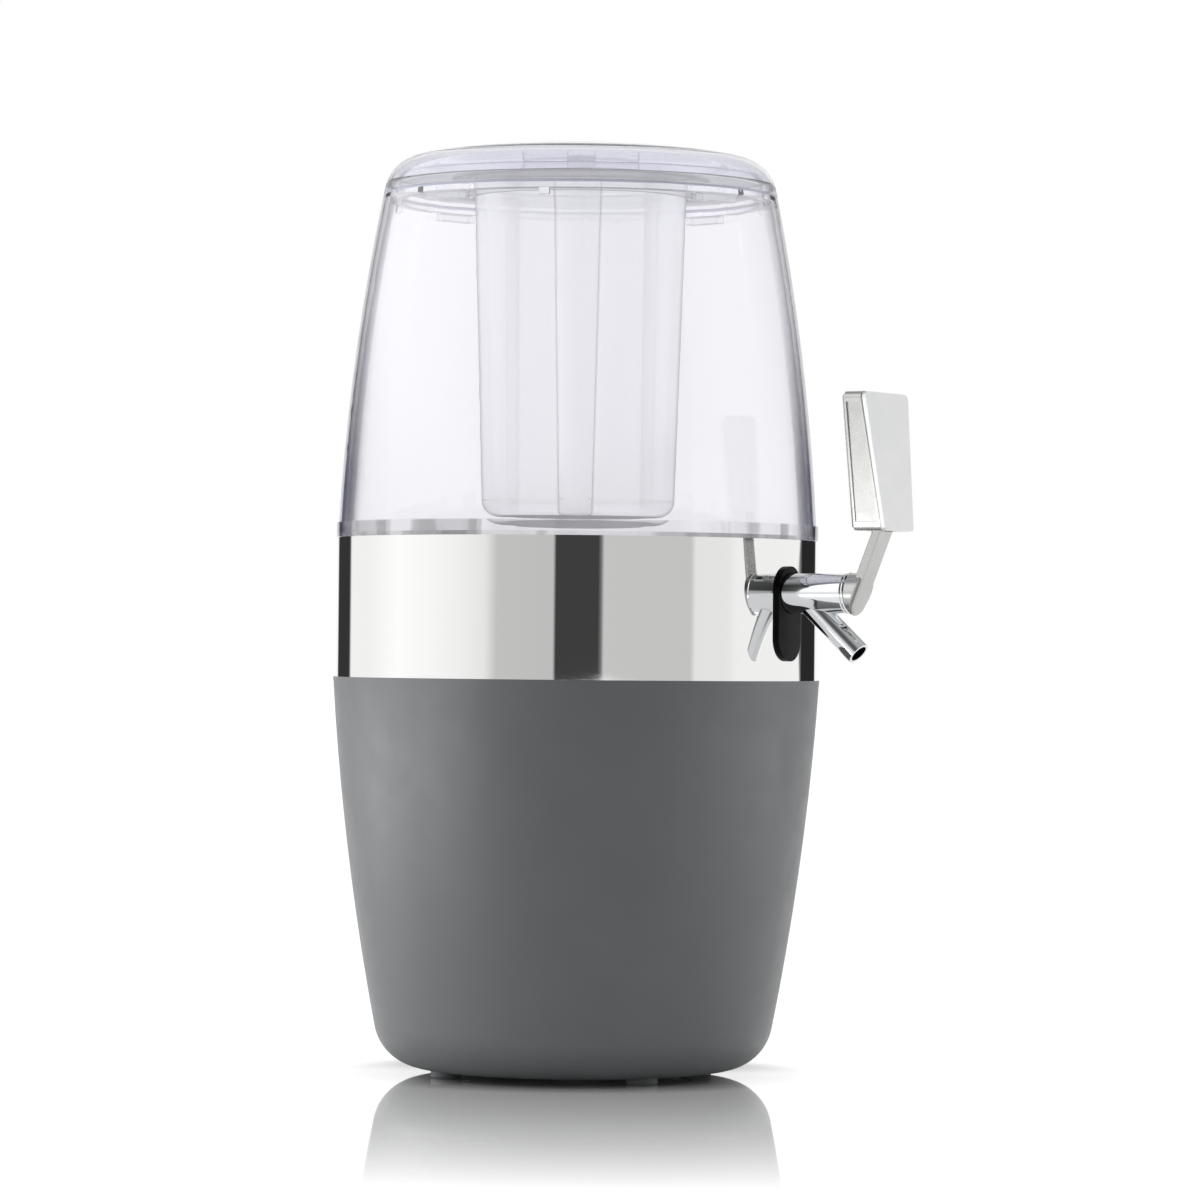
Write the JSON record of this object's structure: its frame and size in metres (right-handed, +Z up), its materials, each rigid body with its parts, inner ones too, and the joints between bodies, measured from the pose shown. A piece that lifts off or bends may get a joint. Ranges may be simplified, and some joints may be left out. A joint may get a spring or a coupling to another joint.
{
  "type": "draft beer tower",
  "caption": "Barrel-shaped table-top drink dispenser with a hollow grey base, steel band, clear tank, ice core under a domed lid and a chrome lever tap.",
  "frame": {"origin": "on the barrel's vertical axis, in the plane that the feet stand on", "axes": "+Z up along the barrel, -Y out along the tap, +X to the right when facing the tap"},
  "size_m": [0.204, 0.2547, 0.3895],
  "materials": {
    "base_plastic": "matte",
    "cover_plastic": "matte",
    "screw_steel": "satin",
    "foot_rubber": "matte",
    "band_steel": "polished",
    "clear_plastic": "polished",
    "frosted_plastic": "satin",
    "seal_silicone": "satin",
    "tap_chrome": "polished",
    "black_plastic": "gloss",
    "gasket_rubber": "matte",
    "nut_plastic": "satin",
    "badge_plastic": "satin"
  },
  "bodies": {
    "tower": {"base_shell": "base_plastic", "bottom_cover": "cover_plastic", "cover_screws": "screw_steel", "rubber_feet": "foot_rubber", "steel_band": "band_steel", "tank": "clear_plastic", "tank_floor": "clear_plastic", "floor_seal": "seal_silicone", "tank_screws": "screw_steel", "tap_body": "tap_chrome", "tap_escutcheon": "black_plastic", "tap_outer_gasket": "gasket_rubber", "tap_inner_washer": "seal_silicone", "tap_nut": "nut_plastic", "tap_collar": "tap_chrome"},
    "lever": {"valve_plug": "tap_chrome", "valve_o_rings": "gasket_rubber", "lever_arm": "tap_chrome", "lever_set_screw": "screw_steel", "paddle": "tap_chrome", "paddle_badge": "badge_plastic", "paddle_screw": "screw_steel"},
    "seal": {"carrier_seal": "seal_silicone"},
    "carrier": {"core_carrier": "clear_plastic"},
    "core": {"ice_core": "frosted_plastic"},
    "cap": {"core_cap": "clear_plastic", "cap_seal": "seal_silicone"},
    "lid": {"dome_lid": "clear_plastic"}
  },
  "joints": [
    {"name": "tap_turn", "type": "hinge", "parent": "tower", "child": "lever", "pos_m": [0, -0.12, 0.2015], "axis": [0, 1, 0], "range_deg": [0, 90]},
    {"name": "carrier_lift", "type": "slide", "parent": "tower", "child": "seal", "axis": [0, 0, 1], "range_m": [0, 0.15]},
    {"name": "carrier_turn", "type": "hinge", "parent": "seal", "child": "carrier", "pos_m": [0, 0, 0.368], "axis": [0, 0, 1], "range_deg": [0, 25]},
    {"name": "core_lift", "type": "slide", "parent": "carrier", "child": "core", "axis": [0, 0, 1], "range_m": [0, 0.15]},
    {"name": "cap_turn", "type": "hinge", "parent": "core", "child": "cap", "pos_m": [0, 0, 0.375], "axis": [0, 0, 1], "range_deg": [0, 35]},
    {"name": "lid_lift", "type": "slide", "parent": "core", "child": "lid", "axis": [0, 0, 1], "range_m": [0, 0.06]}
  ]
}
